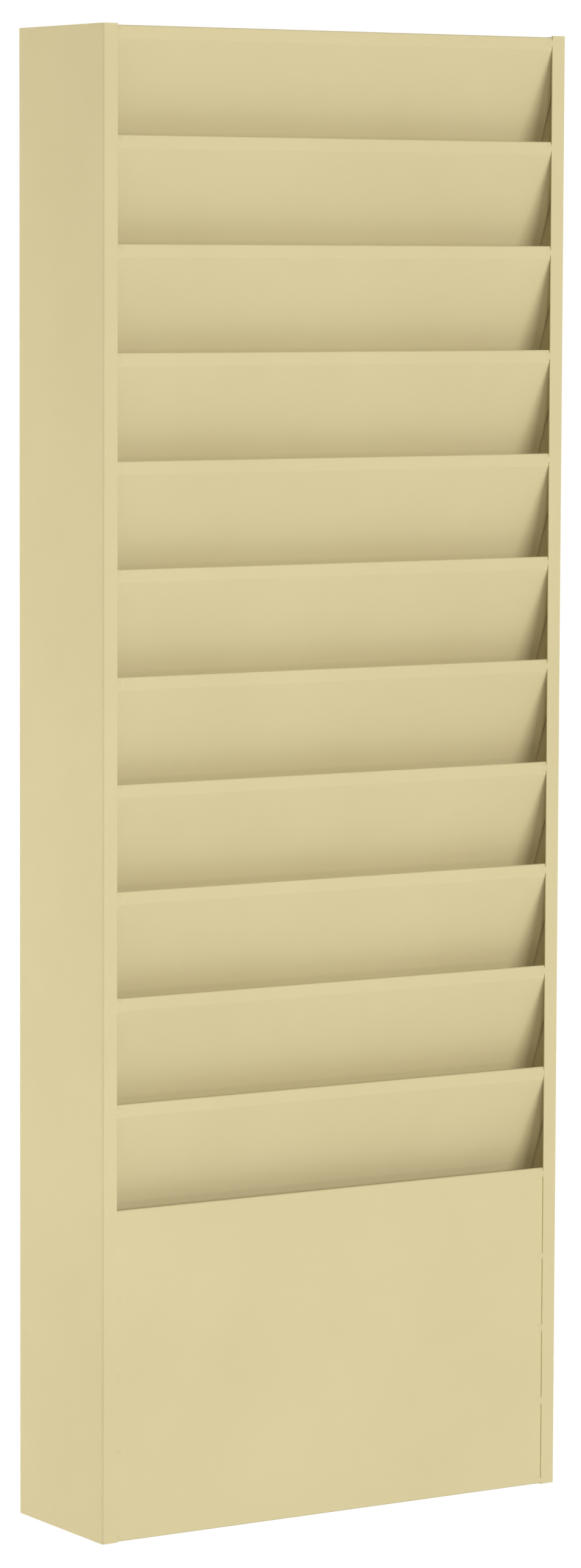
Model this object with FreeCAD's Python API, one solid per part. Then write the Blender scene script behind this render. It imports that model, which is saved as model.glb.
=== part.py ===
import FreeCAD, Part
import math
import os

# Wall-hung file rack of folded and welded sheet steel, in millimetres.
# The origin is the middle of the back, on the wall: +X is to the right as seen from the front,
# +Z is up, and the front faces -Y.

# Overall sizes
WIDTH = 333.4
DEPTH = 102.8
POCKETS = 11
PITCH = 64.55           # from one pocket's lip to the next
LOWER_FRONT = 203.5     # height of the closed front below the last pocket's mouth
TOP_STEP = 0.85         # the sides stand this much above the first lip

# Sheet and its folds
SHEET = 0.9
BEND = 0.6              # inside radius of a fold
HEM = 6.0               # edge folded back flat behind a lip
HEM_GAP = 0.2
FLANGE = 12.0           # folded edge that carries the welds
SETBACK = 8.0           # a flange stops this far from the next fold
RELIEF = 1.5            # slit between a flange's end and the sheet beside it
FIT = 0.3               # between a cut edge and the piece beside it

# Sides
SIDE_FACE = 9.9         # front flange of a side, which the pocket fronts lie behind

# Pockets
LIP = 7.8               # upright band along a pocket's front edge
SLOPE = math.radians(22.0)      # of a pocket's front, from upright
FLOOR = 19.0            # flat floor of a pocket, front to back

# Keyholes for the wall screws
KEY_HEAD_R = 5.5        # lets the screw's head through
KEY_SHANK_R = 2.75      # holds its shank
KEY_RISE = 11.0         # from the head's hole up to the shank's seat
KEY_SIDE = 40.0         # in from the rack's sides
KEY_END = 36.0          # in from the rack's top and bottom

HEIGHT = LOWER_FRONT + POCKETS * PITCH + TOP_STEP
TOP = HEIGHT / 2
BOTTOM = -HEIGHT / 2
FIRST_LIP = TOP - TOP_STEP
OUTER_BEND = BEND + SHEET
MID_BEND = BEND + SHEET / 2
HEM_BEND = (SHEET + HEM_GAP) / 2
INNER = WIDTH / 2 - SHEET               # from the middle to a side's inner face
HALF = INNER - BEND - FIT               # half the width of the sheets between the sides
REAR = WIDTH / 2 - FLANGE               # from the middle to the edge of a side's rear flange
FRONT = SHEET / 2 - DEPTH               # middle of the sides' front flanges
FACE = FRONT + SHEET                    # middle of the lips and the lower front, welded behind them
HEM_BACK = FACE + SHEET + HEM_GAP       # middle of a hem
BACK = -SHEET / 2                       # middle of the back panel
WELD = BACK - SHEET                     # middle of the flanges welded to its front

X = FreeCAD.Vector(1, 0, 0)
Y = FreeCAD.Vector(0, 1, 0)
Z = FreeCAD.Vector(0, 0, 1)
SHORTEST = 1e-6


def left_of(way):
    """The flat direction a quarter turn to the left of this one."""
    return FreeCAD.Vector(-way.y, way.x, 0)


def skin(corners, shift):
    """Edges of a folded sheet's profile, this far to the left of its middle line."""
    points = [FreeCAD.Vector(a, b, 0) for a, b, _ in corners]
    ways = [(q - p).normalize() for p, q in zip(points, points[1:])]
    here = points[0] + left_of(ways[0]) * shift
    edges = []
    for point, corner, before, after in zip(points[1:], corners[1:], ways, ways[1:]):
        radius = corner[2]
        cut = radius * math.tan(before.getAngle(after) / 2)
        side = math.copysign(1, before.cross(after).z)
        centre = point - before * cut + left_of(before) * (radius * side)
        start = point - before * cut + left_of(before) * shift
        middle = centre + (point - centre).normalize() * (radius - shift * side)
        end = point + after * cut + left_of(after) * shift
        if here.distanceToPoint(start) > SHORTEST:
            edges.append(Part.makeLine(here, start))
        edges.append(Part.Arc(start, middle, end).toShape())
        here = end
    edges.append(Part.makeLine(here, points[-1] + left_of(ways[-1]) * shift))
    return edges


def folded_sheet(corners, length, origin, across, up):
    """Sheet folded along corners (a, b, radius), with a and b along across and up from the origin."""
    left = skin(corners, SHEET / 2)
    right = skin(corners, -SHEET / 2)
    ends = [
        Part.makeLine(left[0].Vertexes[0].Point, right[0].Vertexes[0].Point),
        Part.makeLine(left[-1].Vertexes[-1].Point, right[-1].Vertexes[-1].Point),
    ]
    outline = Part.Wire(Part.__sortEdges__(left + right + ends))
    solid = Part.Face(outline).extrude(Z * length)
    solid.Placement = FreeCAD.Placement(origin, FreeCAD.Rotation(across, up, across.cross(up)))
    return solid


def block(low, high):
    """Box between two opposite corners."""
    return Part.makeBox(*(high - low), low)


def both_sides(shape):
    """This shape and its mirror image across the middle of the rack."""
    return [shape, mirrored(shape)]


def mirrored(shape):
    return shape.mirror(FreeCAD.Vector(), X)


def end_flange(top, way, length):
    """Right-hand end of a pocket front's face: its flange, folded back, and the strip that it replaces."""
    rear = X.cross(way)
    foot = top + way * (length - SETBACK)
    fold = INNER - OUTER_BEND
    edge = INNER - SHEET / 2
    corners = [(fold, 0, 0), (edge, 0, MID_BEND), (edge, FLANGE - SHEET / 2, 0)]
    flange = folded_sheet(corners, length - 2 * SETBACK, foot, X, rear)
    strip = Part.makeBox(OUTER_BEND, 2 * SHEET, length - 2 * (SETBACK - RELIEF))
    strip.Placement = FreeCAD.Placement(
        foot + way * RELIEF + X * fold - rear * SHEET,
        FreeCAD.Rotation(X, rear, -way),
    )
    return flange, strip


def pocket_front(corners, face):
    """Folded front that spans the sides: the face is the run of the profile that carries end flanges."""
    front = folded_sheet(corners, 2 * HALF, FreeCAD.Vector(-HALF, 0, 0), Y, Z)
    top, bottom = [FreeCAD.Vector(0, y, z) for y, z, _ in corners[face:face + 2]]
    length = top.distanceToPoint(bottom)
    flange, strip = end_flange(top, (bottom - top).normalize(), length)
    # the rear flange and its fold stop short of the sides' rear flanges
    notch = block(
        FreeCAD.Vector(REAR - FIT, -SHEET - OUTER_BEND, corners[-2][1] - SHEET),
        FreeCAD.Vector(INNER, 0, corners[-1][1] + SHEET),
    )
    trimmed = front.cut(both_sides(strip) + both_sides(notch))
    return trimmed.fuse(both_sides(flange)).removeSplitter()


def hem(lip_top):
    """Start of a profile whose top edge is folded down flat behind it."""
    fold = lip_top - SHEET / 2
    return [(HEM_BACK, lip_top - HEM, 0), (HEM_BACK, fold, HEM_BEND), (FACE, fold, HEM_BEND)]


def rear_flange(floor):
    """End of a profile: the floor runs to the back and turns up against the back panel."""
    return [(WELD, floor, MID_BEND), (WELD, floor + FLANGE - SHEET / 2, 0)]


def pocket_divider(lip_top):
    lip_fold = lip_top - LIP + SHEET / 2 * math.tan(SLOPE / 2)
    # the floor is measured between the inner corners of the folds at its front and back
    floor_fold = WELD - SHEET / 2 - FLOOR - SHEET / 2 * math.tan(math.pi / 4 - SLOPE / 2)
    floor = lip_fold - (floor_fold - FACE) / math.tan(SLOPE)
    slope = [(FACE, lip_fold, MID_BEND), (floor_fold, floor, MID_BEND)]
    return pocket_front(hem(lip_top) + slope + rear_flange(floor), 3)


def lower_front_panel():
    floor = BOTTOM + SHEET / 2
    upright = hem(BOTTOM + LOWER_FRONT) + [(FACE, floor, MID_BEND)]
    return pocket_front(upright + rear_flange(floor), 2)


def right_side_channel():
    web = WIDTH / 2 - SHEET / 2
    corners = [
        (WIDTH / 2 - SIDE_FACE, FRONT, 0),
        (web, FRONT, MID_BEND),
        (web, WELD, MID_BEND),
        (REAR, WELD, 0),
    ]
    channel = folded_sheet(corners, HEIGHT, FreeCAD.Vector(0, 0, BOTTOM), X, Y)
    # the rear flange stops below the back panel's top return
    below_return = block(
        FreeCAD.Vector(REAR, WELD - SHEET, TOP - SETBACK),
        FreeCAD.Vector(WIDTH / 2 - OUTER_BEND, BACK, TOP),
    )
    return channel.cut(below_return)


def keyhole(x, z):
    """Cutter for one keyhole, with its head's hole at this place and its narrow end above."""
    through = Y * (2 * SHEET)
    head = FreeCAD.Vector(x, BACK, z) - through / 2
    seat = head + Z * KEY_RISE
    slot = block(head - X * KEY_SHANK_R, seat + X * KEY_SHANK_R + through)
    holes = [
        Part.makeCylinder(KEY_HEAD_R, through.Length, head, Y),
        Part.makeCylinder(KEY_SHANK_R, through.Length, seat, Y),
    ]
    return slot.fuse(holes).removeSplitter()


def back_panel():
    """Back whose top edge returns to the front, down behind the first lip's hem."""
    behind_hem = HEM_BACK + SHEET
    fold = FIRST_LIP - SHEET / 2
    corners = [
        (BACK, BOTTOM, 0),
        (BACK, fold, MID_BEND),
        (behind_hem, fold, MID_BEND),
        (behind_hem, FIRST_LIP - HEM, 0),
    ]
    panel = folded_sheet(corners, 2 * HALF, FreeCAD.Vector(-HALF, 0, 0), Y, Z)
    key_x = WIDTH / 2 - KEY_SIDE
    upper = keyhole(key_x, TOP - KEY_END)
    lower = keyhole(key_x, BOTTOM + KEY_END)
    return panel.cut(both_sides(upper) + both_sides(lower))


def rack():
    """Every piece of the rack by name."""
    channel = right_side_channel()
    pieces = {
        "left_side_channel": mirrored(channel),
        "right_side_channel": channel,
        "back_panel": back_panel(),
        "lower_front_panel": lower_front_panel(),
    }
    for number in range(POCKETS):
        pieces[f"pocket_divider_{number + 1:02d}"] = pocket_divider(FIRST_LIP - number * PITCH)
    return pieces


os.makedirs("parts", exist_ok=True)
for name, shape in rack().items():
    shape.exportStep(f"parts/{name}.step")
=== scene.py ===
import math
import random

import bmesh
import bpy
from mathutils import Matrix, Vector, noise


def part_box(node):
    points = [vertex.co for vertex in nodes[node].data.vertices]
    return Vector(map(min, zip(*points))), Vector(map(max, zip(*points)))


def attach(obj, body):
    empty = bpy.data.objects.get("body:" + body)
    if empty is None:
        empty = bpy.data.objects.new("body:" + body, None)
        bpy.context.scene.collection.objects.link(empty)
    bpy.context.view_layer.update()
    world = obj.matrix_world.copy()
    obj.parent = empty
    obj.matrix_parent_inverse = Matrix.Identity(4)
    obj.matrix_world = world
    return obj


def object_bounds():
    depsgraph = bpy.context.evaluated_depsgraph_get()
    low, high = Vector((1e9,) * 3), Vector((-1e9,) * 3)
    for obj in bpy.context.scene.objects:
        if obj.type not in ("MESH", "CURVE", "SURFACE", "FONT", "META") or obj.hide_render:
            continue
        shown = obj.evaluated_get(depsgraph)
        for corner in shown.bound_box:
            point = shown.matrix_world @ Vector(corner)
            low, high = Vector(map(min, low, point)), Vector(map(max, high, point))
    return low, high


# The powder-coated wall rack, lit softly on white. Lengths are in metres.

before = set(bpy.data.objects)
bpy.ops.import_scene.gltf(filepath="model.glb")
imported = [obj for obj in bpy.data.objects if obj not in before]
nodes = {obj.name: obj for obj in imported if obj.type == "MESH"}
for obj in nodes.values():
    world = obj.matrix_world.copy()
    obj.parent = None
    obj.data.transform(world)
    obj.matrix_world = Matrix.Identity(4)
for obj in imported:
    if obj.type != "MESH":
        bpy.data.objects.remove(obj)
cad_low, cad_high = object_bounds()

# The camera stands left of the rack and a little above its middle
IMAGE_HEIGHT_PX = 2576
FOCAL_PX = 9120
SENSOR = 36.0                   # millimetres along the image's longer side
CAMERA_AT = Vector((-1.8380, -2.9555, 0.3189))
CAMERA_YAW = math.radians(32.309)
CAMERA_DOWN = math.radians(5.407)
CAMERA_ROLL = math.radians(0.221)
CAMERA_SEES = (0.1, 100.0)      # nearest and furthest distance

# Finish: colours and roughness run between two values, and a grain is a noise's scale per metre and detail
PUTTY = (0.737, 0.647, 0.375)
PUTTY_DEEP = (0.707, 0.615, 0.350)
MOTTLE_GRAIN = (9.0, 3.0)
ROUGHNESS = (0.58, 0.66)
GLOSS_GRAIN = (160.0, 2.0)
SPECULAR = 0.12
WAVE_GRAIN = (11.0, 1.0)
WAVE_BUMP = (0.25, 0.0006)      # strength and height
PEEL_GRAIN = (750.0, 2.0)
PEEL_BUMP = (0.12, 0.0001)
NOISE_MIDDLE = (0.3, 0.7)       # most of a noise's values lie between these

# Tack welds in the corners where the pocket fronts meet the sides' front flanges
SHEET = 0.0009                  # thickness of the steel
FLANGE = 0.0099                 # width of a side's front flange
FLANGE_EDGE = cad_high.x - FLANGE               # its inner edge, from the rack's middle
BEAD = Vector((0.0048, 0.0010, 0.0036))         # half width, height and half length
BEAD_SIZES = (0.88, 1.04)       # smallest and largest bead as shares of that
BEAD_SEGMENTS, BEAD_RINGS = 20, 16
BEAD_LUMPS = 0.35               # height of the lumps as a share of the bead's
LUMP_SIZE = 0.0022
BEAD_DOWN = 0.0039              # below the front's top edge
PANEL_BEADS = (0.056, 0.103, 0.1498, 0.2012)    # the same, further down the lower front
BEAD_STRAY = 0.0003             # a bead sits up to this far higher or lower
WELD_SEED = 11
# Beads begin this deep inside the front and stop this far behind the flange's face
HAIR = 0.00003

# Studio
WHITE = (1.0, 1.0, 1.0, 1.0)
WARM = (1.0, 0.985, 0.93)       # tint of the rim lamps
FILL = 0.10                     # world's light on the object
FLOOR_PALE = (0.9, 0.9, 0.9, 1.0)
FLOOR_SIZE = 12.0
FLOOR_DROP = 0.35               # the rack hangs this far above the floor
FLOOR_FADE = (0.2, 1.1)         # the floor turns white between these distances from its middle
FLOOR_GLOW = (0.45, 1.0)        # share of white at those distances


def new_material(name):
    material = bpy.data.materials.new(name)
    material.use_nodes = True
    material.node_tree.nodes.clear()
    return material


def add(tree, kind, **inputs):
    """New node of this kind with these input values; double underscores stand for spaces."""
    node = tree.nodes.new(kind)
    for name, value in inputs.items():
        node.inputs[name.replace("__", " ")].default_value = value
    return node


def stretch(tree, value, source, target, blend="LINEAR"):
    """The value carried over from one range to the other and held at the ends."""
    node = add(tree, "ShaderNodeMapRange",
               From__Min=source[0], From__Max=source[1], To__Min=target[0], To__Max=target[1])
    node.interpolation_type = blend
    tree.links.new(value, node.inputs["Value"])
    return node.outputs["Result"]


def noise_fac(tree, place, grain):
    scale, detail = grain
    node = add(tree, "ShaderNodeTexNoise", Scale=scale, Detail=detail)
    tree.links.new(place, node.inputs["Vector"])
    return node.outputs["Fac"]


def noise_bump(tree, place, grain, bump):
    strength, height = bump
    node = add(tree, "ShaderNodeBump", Strength=strength, Distance=height)
    tree.links.new(noise_fac(tree, place, grain), node.inputs["Height"])
    return node


def powder_coat():
    """Satin coat: faint mottling, uneven gloss and the orange peel of baked powder, on wavy sheet."""
    material = new_material("powder_coat_putty")
    tree = material.node_tree
    link = tree.links.new
    place = tree.nodes.new("ShaderNodeTexCoord").outputs["Object"]
    shader = add(tree, "ShaderNodeBsdfPrincipled", Specular__IOR__Level=SPECULAR)
    out = tree.nodes.new("ShaderNodeOutputMaterial")
    link(shader.outputs["BSDF"], out.inputs["Surface"])

    colour = add(tree, "ShaderNodeMix")
    colour.data_type = "RGBA"
    colour.inputs["A"].default_value = (*PUTTY, 1)
    colour.inputs["B"].default_value = (*PUTTY_DEEP, 1)
    mottling = stretch(tree, noise_fac(tree, place, MOTTLE_GRAIN), NOISE_MIDDLE, (0.0, 1.0))
    link(mottling, colour.inputs["Factor"])
    link(colour.outputs["Result"], shader.inputs["Base Color"])
    roughness = stretch(tree, noise_fac(tree, place, GLOSS_GRAIN), NOISE_MIDDLE, ROUGHNESS)
    link(roughness, shader.inputs["Roughness"])

    waves = noise_bump(tree, place, WAVE_GRAIN, WAVE_BUMP)
    peel = noise_bump(tree, place, PEEL_GRAIN, PEEL_BUMP)
    link(waves.outputs["Normal"], peel.inputs["Normal"])
    link(peel.outputs["Normal"], shader.inputs["Normal"])
    return material


def coat_nodes(material):
    for node in nodes.values():
        node.data.materials.clear()
        node.data.materials.append(material)


def ball_rings():
    """Points of a unit ball, ring by ring from its front to its back, without the two end points."""
    for ring in range(1, BEAD_RINGS):
        lean = math.pi * ring / BEAD_RINGS
        turns = [2 * math.pi * step / BEAD_SEGMENTS for step in range(BEAD_SEGMENTS)]
        yield [(math.sin(lean) * math.cos(t), -math.cos(lean), math.sin(lean) * math.sin(t)) for t in turns]


def bead_point(ball, at, half):
    """Where a point of a unit ball lies on a bead: the front half is a lumpy mound that runs out flat."""
    x, y, z = ball
    rise = max(1 - x ** 2 - abs(z) ** 3, 0) ** 2 if y < 0 else 0
    point = at + Vector((x * half.x, 0, z * half.z))
    lumps = 1 + BEAD_LUMPS * noise.noise(point / LUMP_SIZE)
    point.y += max(y, 0) * SHEET / 2 + HAIR - rise * lumps * half.y
    point.y = max(point.y, cad_low.y + HAIR)
    return point


def bead(bm, at, chance):
    """One bead of weld in this corner; its back lies inside the sheet."""
    half = BEAD * chance.uniform(*BEAD_SIZES)
    half.z = min(half.z, at.z - cad_low.z)      # no bead hangs below the rack
    rings = [[bm.verts.new(bead_point(p, at, half)) for p in points] for points in ball_rings()]
    front = bm.verts.new(bead_point((0, -1, 0), at, half))
    back = bm.verts.new(bead_point((0, 1, 0), at, half))
    for i in range(BEAD_SEGMENTS):
        bm.faces.new((front, rings[0][i - 1], rings[0][i]))
        for ring, after in zip(rings, rings[1:]):
            bm.faces.new((ring[i - 1], after[i - 1], after[i], ring[i]))
        bm.faces.new((back, rings[-1][i], rings[-1][i - 1]))


def tack_welds(material):
    """Beads at both ends of every lip and beside the lower front, coated with the rest."""
    chance = random.Random(WELD_SEED)
    bm = bmesh.new()
    fronts = [n for n in sorted(nodes) if n.startswith("pocket_divider")] + ["lower_front_panel"]
    for name in fronts:
        low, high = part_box(name)
        downs = [BEAD_DOWN]
        if name == "lower_front_panel":
            downs += PANEL_BEADS
        for down in downs:
            for side in (-1, 1):
                z = high.z - down + chance.uniform(-BEAD_STRAY, BEAD_STRAY)
                bead(bm, Vector((side * FLANGE_EDGE, low.y, z)), chance)
    mesh = bpy.data.meshes.new("tack_welds")
    bm.to_mesh(mesh)
    bm.free()
    for face in mesh.polygons:
        face.use_smooth = True
    welds = bpy.data.objects.new("tack_welds", mesh)
    bpy.context.scene.collection.objects.link(welds)
    mesh.materials.append(material)
    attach(welds, "root")


def seen_directly(tree):
    """1 for what the camera, gloss and glass see, and 0 for the light that falls on the object."""
    path = tree.nodes.new("ShaderNodeLightPath")
    seen = path.outputs["Is Camera Ray"]
    for name in ("Is Glossy Ray", "Is Transmission Ray"):
        either = tree.nodes.new("ShaderNodeMath")
        either.operation = "MAXIMUM"
        tree.links.new(seen, either.inputs[0])
        tree.links.new(path.outputs[name], either.inputs[1])
        seen = either.outputs["Value"]
    return seen


def white_world():
    """White where it is seen directly, and a little light on the object."""
    world = bpy.data.worlds.new("white_surround")
    world.use_nodes = True
    tree = world.node_tree
    tree.nodes.clear()
    out = tree.nodes.new("ShaderNodeOutputWorld")
    mix = tree.nodes.new("ShaderNodeMixShader")
    tree.links.new(seen_directly(tree), mix.inputs["Fac"])
    for strength, socket in ((FILL, 1), (1.0, 2)):
        light = add(tree, "ShaderNodeBackground", Color=WHITE, Strength=strength)
        tree.links.new(light.outputs["Background"], mix.inputs[socket])
    tree.links.new(mix.outputs["Shader"], out.inputs["Surface"])
    bpy.context.scene.world = world


def floor_material():
    """Pale floor that keeps the shadow near the rack and turns white further out."""
    material = new_material("pale_floor")
    tree = material.node_tree
    link = tree.links.new
    out = tree.nodes.new("ShaderNodeOutputMaterial")
    matt = add(tree, "ShaderNodeBsdfDiffuse", Color=FLOOR_PALE)
    glow = add(tree, "ShaderNodeEmission", Color=WHITE, Strength=1.0)
    place = tree.nodes.new("ShaderNodeTexCoord").outputs["Object"]
    reach = tree.nodes.new("ShaderNodeVectorMath")
    reach.operation = "LENGTH"
    link(place, reach.inputs[0])
    share = tree.nodes.new("ShaderNodeMath")
    share.operation = "MULTIPLY"
    link(stretch(tree, reach.outputs["Value"], FLOOR_FADE, FLOOR_GLOW, "SMOOTHSTEP"), share.inputs[0])
    link(seen_directly(tree), share.inputs[1])
    mix = tree.nodes.new("ShaderNodeMixShader")
    link(share.outputs["Value"], mix.inputs["Fac"])
    link(matt.outputs["BSDF"], mix.inputs[1])
    link(glow.outputs["Emission"], mix.inputs[2])
    link(mix.outputs["Shader"], out.inputs["Surface"])
    return material


def studio_floor():
    half = FLOOR_SIZE / 2
    corners = [(-half, -half, 0), (half, -half, 0), (half, half, 0), (-half, half, 0)]
    mesh = bpy.data.meshes.new("studio_floor")
    mesh.from_pydata(corners, [], [(0, 1, 2, 3)])
    plane = bpy.data.objects.new("studio_floor", mesh)
    bpy.context.scene.collection.objects.link(plane)
    plane.location.z = cad_low.z - FLOOR_DROP
    mesh.materials.append(floor_material())


def softbox(name, azimuth, elevation, distance, width, height, watts, tint=WHITE[:3]):
    """Soft lamp that faces the rack from this direction in degrees: azimuth 0 is straight in front."""
    data = bpy.data.lights.new(name, "AREA")
    data.shape = "RECTANGLE"
    data.size = width
    data.size_y = height
    data.energy = watts
    data.color = tint
    lamp = bpy.data.objects.new(name, data)
    bpy.context.scene.collection.objects.link(lamp)
    turn = math.radians(azimuth)
    lift = math.radians(elevation)
    ahead = Vector((math.sin(turn) * math.cos(lift), -math.cos(turn) * math.cos(lift), math.sin(lift)))
    lamp.location = (cad_low + cad_high) / 2 + ahead * distance
    lamp.rotation_mode = "QUATERNION"
    lamp.rotation_quaternion = (-ahead).to_track_quat("-Z", "Y")
    lamp.visible_camera = False


def studio_lamps():
    """Far key and low strip in front, small fill on the left, top lamp behind and a warm rim each side."""
    softbox("key", azimuth=8, elevation=11, distance=18.0, width=11.0, height=2.4, watts=1610)
    softbox("fill", azimuth=-26, elevation=16, distance=3.5, width=0.75, height=0.45, watts=23)
    softbox("low_strip", azimuth=17, elevation=-3, distance=18.0, width=16.0, height=1.9, watts=255)
    softbox("top", azimuth=180, elevation=60, distance=3.0, width=1.2, height=1.2, watts=40)
    rim = {"elevation": -4, "distance": 3.0, "width": 0.75, "height": 1.05, "tint": WARM}
    softbox("rim_left", azimuth=-128, watts=53, **rim)
    softbox("rim_right", azimuth=104, watts=43, **rim)


def photo_camera():
    data = bpy.data.cameras.new("photo_camera")
    data.sensor_fit = "AUTO"
    data.sensor_width = SENSOR
    data.lens = SENSOR * FOCAL_PX / IMAGE_HEIGHT_PX
    data.clip_start, data.clip_end = CAMERA_SEES
    camera = bpy.data.objects.new("photo_camera", data)
    bpy.context.scene.collection.objects.link(camera)
    upright = Matrix.Rotation(math.pi / 2 - CAMERA_DOWN, 4, "X")
    turned = Matrix.Rotation(-CAMERA_YAW, 4, "Z") @ upright @ Matrix.Rotation(CAMERA_ROLL, 4, "Z")
    camera.matrix_world = Matrix.Translation(CAMERA_AT) @ turned
    bpy.context.scene.camera = camera


coat = powder_coat()
coat_nodes(coat)
tack_welds(coat)
white_world()
studio_floor()
studio_lamps()
photo_camera()
bpy.context.scene.view_settings.view_transform = "Standard"
